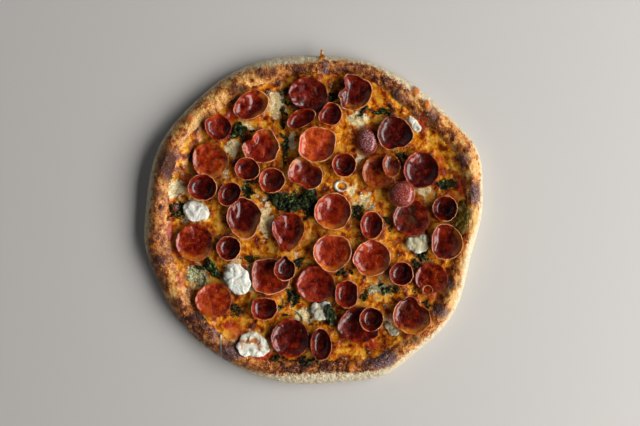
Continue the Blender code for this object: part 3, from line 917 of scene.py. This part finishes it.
# Where a rim stands out, or shrank in: the directions, half widths in degrees and reaches in mm
SWELLS = {
    1: [(130, 30, 1.5), (0, 24, 1.0)],
    5: [(135, 14, 2.5), (220, 16, 2.5), (178, 16, -0.5), (335, 26, 3.5)],
    6: [(185, 26, 2.5), (330, 20, 1.5), (45, 20, -1.5)],
    8: [(190, 20, 2.5), (330, 14, 2.0)],
    10: [(185, 34, 3.5), (340, 20, 2.0), (250, 20, -1.0)],
    11: [(50, 26, -2.0), (240, 28, -2.5), (110, 20, 1.0), (320, 24, 1.5)],
    13: [(285, 28, 4.0), (15, 32, 3.0), (95, 12, 1.0), (215, 20, -1.0)],
    14: [(60, 18, 2.5), (0, 20, 2.0), (315, 16, 2.0), (225, 18, 1.5), (145, 16, -3.5), (180, 12, 1.0)],
    15: [(60, 20, -3.0), (118, 12, 2.0), (160, 18, -3.5), (196, 10, 1.5), (230, 18, 4.0), (256, 14, 2.0)],
    16: [(35, 20, 3.0), (205, 16, 2.0), (270, 20, -1.0)],
    17: [(275, 20, -1.0), (350, 24, 2.0), (110, 20, 1.0), (180, 20, 1.0)],
    18: [(110, 20, 1.0), (240, 20, 1.0), (180, 16, -1.0)],
    19: [(330, 16, -1.0)],
    20: [(150, 14, 2.0), (215, 20, -2.0), (320, 20, -1.5), (270, 12, 1.5), (90, 18, -0.5)],
    21: [(45, 18, 1.5), (225, 20, -1.5), (315, 18, -1.0)],
    22: [(185, 14, 2.0), (120, 20, -1.0)],
    23: [(52, 20, -3.0), (232, 24, -1.5), (95, 12, 1.0), (340, 14, 1.5)],
    25: [(300, 30, -1.0), (20, 16, 1.5), (200, 16, 1.0)],
    26: [(90, 24, 2.5), (150, 20, 1.5), (220, 20, -1.0)],
    29: [(150, 32, -3.0), (215, 14, 1.0), (300, 20, 1.0)],
    38: [(60, 20, -2.0), (120, 20, -2.0), (200, 16, 1.0), (320, 16, 1.0)],
    40: [(40, 14, 1.5), (140, 14, 1.0), (220, 14, 1.0), (320, 14, 1.0)],
    41: [(140, 20, 1.5), (220, 18, 1.0), (40, 14, 1.0)],
}

# Folds that the shrinking casing left: the middle, the half widths and the height in mm
FOLDS = [
    (-62, 79, 6, 8, 2.2),
    (-44, 66, 7, 9, -1.0),
    (4, 82, 10, 8, 1.8),
    (12, 66, 8, 8, -1.2),
    (29, -37, 5, 9, 1.3),
    (30, 122, 4, 14, 1.8),
    (44, 132, 8, 7, -1.0),
    (-10, 136, 8, 4, 1.4),
    (-14, 120, 6, 8, 1.2),
    (-19, 50, 7, 6, 1.6),
    (-2, 38, 8, 6, -1.2),
    (-67, 115, 5, 8, 1.5),
    (119, -20, 5, 10, 1.5),
    (-17, 131, 7, 6, 0.8),
    (7, 128, 5, 7, -0.8),
    (-108, 66, 8, 4, 1.2),
    (-96, 52, 5, 9, 1.0),
    (-78, 8, 4, 10, 1.4),
    (-32, -6, 5, 12, 1.2),
    (10, 14, 6, 10, 1.4),
    (26, 0, 8, 6, 0.9),
    (50, -30, 8, 6, 1.2),
    (-126, -16, 6, 8, 1.0),
    (100, 58, 9, 5, 1.2),
    (-34, -126, 8, 8, 1.0),
    (92, -90, 8, 5, 1.2),
    (122, -52, 8, 4, 1.0),
    (-6, -72, 8, 6, 1.0),
]

# How bright a red slices baked to, where it isn't the usual red: the tone and the slices
USUAL_TONE = 0.3
TONED = [
    (0.05, (12, 17)),
    (0.10, (24, 30, 42)),
    (0.12, (36, 43)),
    (0.15, (8, 10, 13, 38, 39)),
    (0.20, (3, 15)),
    (0.25, (34,)),
    (0.28, (31,)),
    (0.35, (4, 6)),
    (0.36, (18,)),
    (0.42, (5,)),
    (0.45, (2, 14)),
    (0.50, (22,)),
    (0.52, (19,)),
    (0.55, (1, 9, 21)),
    (0.72, (16,)),
]
TONES = {number: tone for tone, numbers in TONED for number in numbers}

# Slices whose rims have no pale line of fat
BARE_RIMS = (1, 2, 3, 4, 6, 7, 8, 9, 10, 12, 20, 24, 26, 27)

# How far oily cheese ran over a slice, and how far leaf juice stained one
SMEARED = {1: 0.55, 2: 0.85, 27: 0.75, 9: 0.45, 4: 0.3, 7: 0.3, 22: 0.3, 23: 0.3}
MURKY = {3: 0.55, 23: 0.4, 27: 0.45, 11: 0.3, 32: 0.4, 35: 0.3, 18: 0.3}

# Where an inner wall is painted bright orange as painted light through a thin rim: the direction and how
# far
GLOWING = {
    1: (300, 0.4),
    4: (280, 0.4),
    11: (100, 0.4),
    13: (310, 0.6),
    14: (20, 0.3),
    15: (300, 0.5),
    18: (0, 0.9),
    19: (280, 0.5),
    20: (330, 0.5),
    21: (280, 0.4),
    22: (300, 0.3),
    23: (300, 0.9),
    25: (350, 0.9),
}

meat = Finish("cured_pepperoni", 0.25, coat_ior=1.45, coat_weight=1.0, coat_roughness=0.17)
speckle, height = meat.baked(1.3)
patch, ripple = meat.baked(6.0)
# The tone mask holds each slice's own red and, on small cups, painted light on the walls
redness = meat.varied(meat.mask("tone"), (speckle, 0.2), (patch, 0.3))
colour = meat.ramp(
    redness,
    (0.00, (0.045, 0.0015, 0.001)),
    (0.30, (0.155, 0.006, 0.0015)),
    (0.62, (0.340, 0.024, 0.003)),
    (1.00, (0.640, 0.095, 0.014)),
)
colour = meat.over(colour, (0.62, 0.20, 0.07), meat.mask("fat"))
smeared = meat.stepped(meat.varied(meat.mask("smeared"), (patch, 0.9), (speckle, 0.3)), 0.3, 0.9)
colour = meat.over(colour, (0.40, 0.085, 0.004), smeared)
murky = meat.stepped(meat.varied(meat.mask("murky"), (patch, 0.6), (speckle, 0.4)), 0.2, 0.9)
colour = meat.over(colour, (0.045, 0.026, 0.008), murky)
# Painted light: one inner wall is painted bright orange, as if lit through the thin rim
colour = meat.over(colour, (0.96, 0.30, 0.020), meat.mask("glowing"))
colour = meat.over(colour, (0.88, 0.42, 0.20), meat.mask("rim"))
colour = meat.over(colour, (0.035, 0.008, 0.006), meat.mask("scorched"))
# Painted highlight: the crowns of the upside-down slices are painted pale pink
crown = meat.ramp(
    speckle,
    (0.10, (0.12, 0.012, 0.012)),
    (0.55, (0.28, 0.09, 0.09)),
    (1.00, (0.66, 0.44, 0.46)),
)
colour = meat.over(colour, crown, meat.mask("crown"))
meat.put(colour, meat.shader.inputs["Base Color"])
meat.put(meat.math("MULTIPLY_ADD", speckle, 0.1, 0.14), meat.shader.inputs["Roughness"])
meat.raised(meat.math("MULTIPLY_ADD", ripple, 2.0, height), 0.35)


def rim_share(points, middle):
    """How far out each point of a slice lies: 0 in its middle and 1 on its outline."""
    away = points[:, :2] - middle[:2]
    reach = np.hypot(away[:, 0], away[:, 1])
    angles = np.degrees(np.arctan2(away[:, 1], away[:, 0]))
    steps = np.arange(-180.0, 181.0, 6.0)
    edge = [reach[apart(angles, direction) < 7.0].max() for direction in steps]
    return reach / np.interp(angles, steps, edge)


def pole_of(piece):
    """The middle of a slice: where the most edges of its cage meet."""
    counts = np.zeros(len(piece.data.vertices), int)
    for edge in piece.data.edges:
        for end in edge.vertices:
            counts[end] += 1
    return places(piece)[counts.argsort()[-2:]].mean(axis=0)


for number in range(1, SLICES + 1):
    node = f"pepperoni_{number:02d}"
    piece = taken_from(node, f"pepperoni_slice_{number:02d}")
    points = places(piece)
    middle = pole_of(piece)
    small = len(points) < SMALL_CAGE
    refined(piece, 3, CAGE_SWELL)
    if number in DOMES:
        applied(piece, "SMOOTH", factor=0.5, iterations=6)
    points = places(piece)
    facing = directions(piece)
    share = rim_share(points, middle)
    rim = smooth_step(0.62, 0.96, share)
    uneven = grain(points, SLICE_UNEVEN, 2, seed=50.0 + number)
    fine = grain(points, SLICE_FINE, 2, seed=60.0 + number)
    broad = grain(points * (1.0, 1.0, 0.0), SLICE_BROAD, 2, seed=70.0 + number)
    away = points[:, :2] - middle[:2]
    turns = np.arctan2(away[:, 1], away[:, 0])
    circle = np.column_stack((np.cos(turns), np.sin(turns), 0.0 * turns))
    waves = grain(circle, RIM_WAVES, 2, seed=75.0 + number)
    outwards = away / np.maximum(np.hypot(away[:, 0], away[:, 1]), 0.01)[:, None]
    buckled = SMALL_BUCKLE if small else BUCKLE
    points += facing * (0.12 * fine + 0.2 * uneven)[:, None]
    points[:, 2] += rim * (0.4 * uneven + buckled * broad) + (1.0 - rim) * 0.5 * buckled * broad
    if number not in DOMES:
        bowl = SHALLOW_BOWL if small or number in FLAT else BOWL
        folded = sum(rise * patches(points, [(*place, 1.0)]) for *place, rise in FOLDS)
        points[:, 2] += bowl * share**3 + folded
        points[:, 2] = np.minimum(points[:, 2], box_high[2])
    swell = share**2 * swelling(np.degrees(turns), SWELLS.get(number, [(0.0, 1.0, 0.0)]))
    points[:, :2] += outwards * (rim * buckled * waves + swell)[:, None]
    set_places(piece, points)
    tone = TONES.get(number, USUAL_TONE)
    height_share = (points[:, 2] - points[:, 2].min()) / np.ptp(points[:, 2])
    clean = -0.4 if number in BARE_RIMS else 0.9 if small else 0.45
    edge_line = smooth_step(0.935, 0.975, share) * (clean + 1.1 * uneven - SMEARED.get(number, 0.0))
    # Painted light: a bright orange band on the inner wall on one side of the slice
    direction, strength = GLOWING.get(number, (0.0, 0.0))
    beside = np.cos(turns - radians(direction))
    glowing = strength * smooth_step(0.62, 0.86, share) * smooth_step(0.2, 0.8, beside + 0.4 * uneven)
    # Painted light: on small cups the walls are painted lighter and the floors darker, as if the walls
    # catch the light
    lit = (0.6 if small else 0.1) * (height_share - 0.35)
    paint(piece, tone=tone + 0.3 * uneven + 0.25 * broad + lit, rim=edge_line)
    paint(piece, fat=smooth_step(0.45, 0.7, fine + 0.2 * uneven) * (0.1 + 0.4 * tone))
    burnt = 0.0 if number in DOMES else 0.5
    paint(piece, scorched=burnt * smooth_step(0.4, 0.75, uneven), glowing=glowing)
    paint(piece, smeared=SMEARED.get(number, 0.0) * (0.6 + 0.4 * rim))
    paint(piece, murky=MURKY.get(number, 0.0) * smooth_step(0.9, 0.3, share + 0.4 * broad))
    # A painted highlight, pale on the highest part of a dome
    paint(piece, crown=DOMES.get(number, 0.0) * smooth_step(0.45, 0.9, height_share + 0.25 * uneven))
    meat.dress(piece, "pepperoni", node)
    if number == RINGED_SLICE:
        laid_trees.append(tree_over(piece, points))

# Chopped basil
# Shreds of leaf and a few thin stems, strewn before baking. They wilted into dark curls that lie
# on the cheese between the slices, and follow it.

# Where shreds lie: the middle and the half widths of each heap, and how many lie in it
LEAF_SHREDS = [
    (44, 8, 8, 8, 9),
    (-136, 7, 6, 7, 8),
    (-66, 28, 6, 10, 10),
    (-68, 84, 7, 6, 4),
    (-3, -145, 11, 4, 9),
    (-35, -140, 8, 3, 5),
    (75, -70, 8, 7, 7),
    (-21, -80, 6, 6, 7),
    (-26, 121, 4, 8, 6),
    (-28, 86, 3, 22, 9),
    (19, 120, 3, 7, 5),
    (52, 105, 5, 4, 4),
    (72, 106, 9, 4, 7),
    (87, 59, 7, 5, 5),
    (127, 32, 7, 5, 5),
    (107, -45, 7, 8, 8),
    (31, -53, 8, 4, 7),
    (-14, -47, 4, 6, 6),
    (-80, -92, 7, 4, 6),
    (-30, -95, 5, 5, 3),
    (52, -80, 4, 6, 4),
    (112, -86, 4, 5, 3),
    (-45, 20, 5, 6, 5),
    (-23, 17, 18, 9, 24),
    (0, 8, 8, 10, 12),
    (14, -95, 5, 8, 6),
    (-108, -48, 10, 7, 8),
    (76, -4, 3, 6, 3),
    (-25, -70, 5, 4, 3),
]

# Stems: the middle, the length, the turn in degrees and how far each one curls
STEMS = [
    (-12, -100, 26, 118, 0.6),
    (-30, -88, 16, 75, 0.4),
    (-108, -62, 14, 95, 0.5),
    (26, 100, 14, 100, 0.3),
]
STEM_WIDTH = 1.1
STEM_WAVE = 0.4
SHRED_SEED = 7
SHRED_THICKNESS = 0.35
SHRED_TRIES = 20
SHRED_LIFT = 0.1
MOST_CLIMB = 1.5

random.seed(SHRED_SEED)


def bed_height(x, y):
    """How high the dough, cheese, leaf or slice that something is laid on reaches at a place."""
    hits = [tree.ray_cast(Vector((x, y, RAY_START)), down)[0] for tree in laid_trees]
    return max(hit.z for hit in hits if hit)


def under_slice(x, y):
    """Whether a slice lies over a place."""
    return packed_slices.ray_cast(Vector((x, y, RAY_START)) * MM, down)[0] is not None


def strip(name, across):
    """A flat strip of leaf along X, 1 mm long and wide, cut into a few faces."""
    bpy.ops.object.select_all(action="DESELECT")
    bpy.ops.mesh.primitive_grid_add(x_subdivisions=across, y_subdivisions=2, size=MM)
    made = bpy.context.object
    made.name = name
    applied(made, "SOLIDIFY", thickness=SHRED_THICKNESS * MM, offset=1.0)
    bpy.ops.object.shade_smooth()
    return made


def laid(pattern, x, y, length, width, turn, curl, wave, light):
    """Copies a strip at a size, turns and curls the copy, and lays it on the cheese."""
    made = pattern.copy()
    made.data = pattern.data.copy()
    bpy.context.scene.collection.objects.link(made)
    points = places(made) * (length, width, 1.0)
    half = length / 2.0
    along = points[:, 0] / half
    taper = 1.0 - 0.75 * np.abs(along) ** 2.2
    points[:, 1] = points[:, 1] * taper + curl * half * along**2
    waves = wave * (0.5 + 0.5 * np.sin(5.0 * along + 9.0 * light))
    z = points[:, 2] + waves + 0.5 * np.abs(points[:, 1])
    turn = radians(turn)
    flat_x = x + points[:, 0] * cos(turn) - points[:, 1] * sin(turn)
    flat_y = y + points[:, 0] * sin(turn) + points[:, 1] * cos(turn)
    rest = bed_height(x, y)
    ground = np.array([min(bed_height(px, py), rest + MOST_CLIMB) for px, py in zip(flat_x, flat_y)])
    set_places(made, np.column_stack((flat_x, flat_y, ground + z + SHRED_LIFT)))
    paint(made, light=np.full(len(points), light), dried=np.zeros(len(points)))
    return made


def joined(pieces, name):
    """Makes several objects one piece."""
    chosen(pieces[0])
    for piece in pieces:
        piece.select_set(True)
    bpy.ops.object.join()
    pieces[0].name = name
    return pieces[0]


leaf_strip = strip("leaf_strip", 7)
stem_strip = strip("stem_strip", 16)
shreds = []
for x, y, half_x, half_y, count in LEAF_SHREDS:
    for step in range(count):
        for attempt in range(SHRED_TRIES):
            place_x = x + half_x * random.uniform(-1.0, 1.0)
            place_y = y + half_y * random.uniform(-1.0, 1.0)
            if not under_slice(place_x, place_y):
                break
        else:
            continue
        length = random.uniform(4.0, 9.5)
        width = random.uniform(1.6, 3.4)
        # Painted highlight: some shreds are painted lighter than others
        light = random.choice((0.1, 0.2, 0.3, 0.5, 1.0))
        turn = random.uniform(0, 360)
        curl = random.uniform(-0.5, 0.5)
        wave = random.uniform(0.3, 1.6)
        shreds.append(laid(leaf_strip, place_x, place_y, length, width, turn, curl, wave, light))
for x, y, length, turn, curl in STEMS:
    shreds.append(laid(stem_strip, x, y, length, STEM_WIDTH, turn, curl, STEM_WAVE, 1.0))
for pattern in (leaf_strip, stem_strip):
    bpy.data.objects.remove(pattern)
leafy.dress(joined(shreds, "chopped_basil"), "basil")

# Rings of cheese
# Thin ropes of melted cheese, one on the sheet and one on a slice. Two bubbles burst as they baked,
# and left these rings standing, fused to what they lie on.

# The middle, the half widths and how thick the rope is
RINGS = [(28, 31, 6.0, 4.8, 1.5), (114, -73, 5.0, 4.8, 0.9)]
RING_RAGGED = 0.6
RING_LUMP = 4.0
RING_STAIN = 3.0

rings = []
for x, y, half_x, half_y, rope in RINGS:
    bpy.ops.object.select_all(action="DESELECT")
    bpy.ops.mesh.primitive_torus_add(
        major_segments=40, minor_segments=10, major_radius=half_x * MM, minor_radius=rope * MM
    )
    ring = bpy.context.object
    points = places(ring)
    ways = points[:, :2] / np.hypot(points[:, 0], points[:, 1])[:, None]
    core = np.column_stack((half_x * ways, 0.0 * points[:, 2]))
    points = core + (points - core) * (1.0 - 0.35 * ways[:, 0])[:, None]
    points[:, 1] *= half_y / half_x
    points[:, :2] += (x, y)
    points[:, 2] += [bed_height(px, py) for px, py in points[:, :2]]
    ragged = [grain(points, RING_LUMP, 2, seed) for seed in (80.0, 81.0, 82.0)]
    points += RING_RAGGED * np.column_stack(ragged)
    set_places(ring, points)
    bpy.ops.object.shade_smooth()
    stained = 1.9 - rope + 0.3 * ways[:, 0] + 0.5 * grain(points, RING_STAIN, 2, seed=83.0)
    paint(ring, stain=stained, toasted=stained)
    rings.append(ring)
curd.dress(joined(rings, "cheese_rings"), "melted_cheese")

# Floor, lights and camera
# A plain pale floor, a large soft key light from the right, a weak fill, and a camera straight
# above the pizza, framed as the photograph is.
CAMERA_MIDDLE = (6.7, 4.1)
CAMERA_HEIGHT = 1612.0
CAMERA_LENS = 90.0
HORIZON = (0.12, 0.12, 0.13)
ZENITH = (0.010, 0.010, 0.012)
FLOOR_SIZE = 6000.0
FLOOR_DROP = 0.2

bpy.ops.object.select_all(action="DESELECT")
bpy.ops.mesh.primitive_plane_add(size=FLOOR_SIZE * MM)
floor = bpy.context.object
floor.name = "floor"
floor.data.transform(Matrix.Translation((0.0, 0.0, -FLOOR_DROP * MM)))
floor_finish = bpy.data.materials.new("pale_floor")
floor_finish.use_nodes = True
floor_shader = floor_finish.node_tree.nodes["Principled BSDF"]
floor_shader.inputs["Base Color"].default_value = (0.62, 0.61, 0.59, 1.0)
floor_shader.inputs["Roughness"].default_value = 0.8
floor.data.materials.append(floor_finish)


def softbox(name, place, width, height, power, colour):
    """An area light that faces the pizza, with its place and size in metres."""
    light = bpy.data.lights.new(name, "AREA")
    light.shape = "RECTANGLE"
    light.size = width
    light.size_y = height
    light.energy = power
    light.color = colour
    lamp = bpy.data.objects.new(name, light)
    lamp.location = place
    lamp.rotation_euler = (-Vector(place)).to_track_quat("-Z", "Y").to_euler()
    bpy.context.scene.collection.objects.link(lamp)


softbox("key", (1.90, -0.30, 1.25), width=3.4, height=1.35, power=102.0, colour=(1.0, 0.97, 0.94))
softbox("fill", (-1.2, 0.9, 0.9), width=2.4, height=2.0, power=2.6, colour=(0.9, 0.95, 1.0))
world = bpy.data.worlds.new("studio")
world.use_nodes = True
sky = world.node_tree
aim = sky.nodes.new("ShaderNodeTexCoord")
split = sky.nodes.new("ShaderNodeSeparateXYZ")
shade = sky.nodes.new("ShaderNodeValToRGB")
shade.color_ramp.elements[0].color = (*HORIZON, 1.0)
shade.color_ramp.elements[1].position = 0.7
shade.color_ramp.elements[1].color = (*ZENITH, 1.0)
sky.links.new(aim.outputs["Generated"], split.inputs[0])
sky.links.new(split.outputs["Z"], shade.inputs[0])
sky.links.new(shade.outputs[0], sky.nodes["Background"].inputs["Color"])
bpy.context.scene.world = world
bpy.context.scene.view_settings.view_transform = "Standard"

lens = bpy.data.cameras.new("camera")
lens.lens = CAMERA_LENS
camera = bpy.data.objects.new("camera", lens)
camera.location = Vector((*CAMERA_MIDDLE, CAMERA_HEIGHT)) * MM
bpy.context.scene.collection.objects.link(camera)
bpy.context.scene.camera = camera
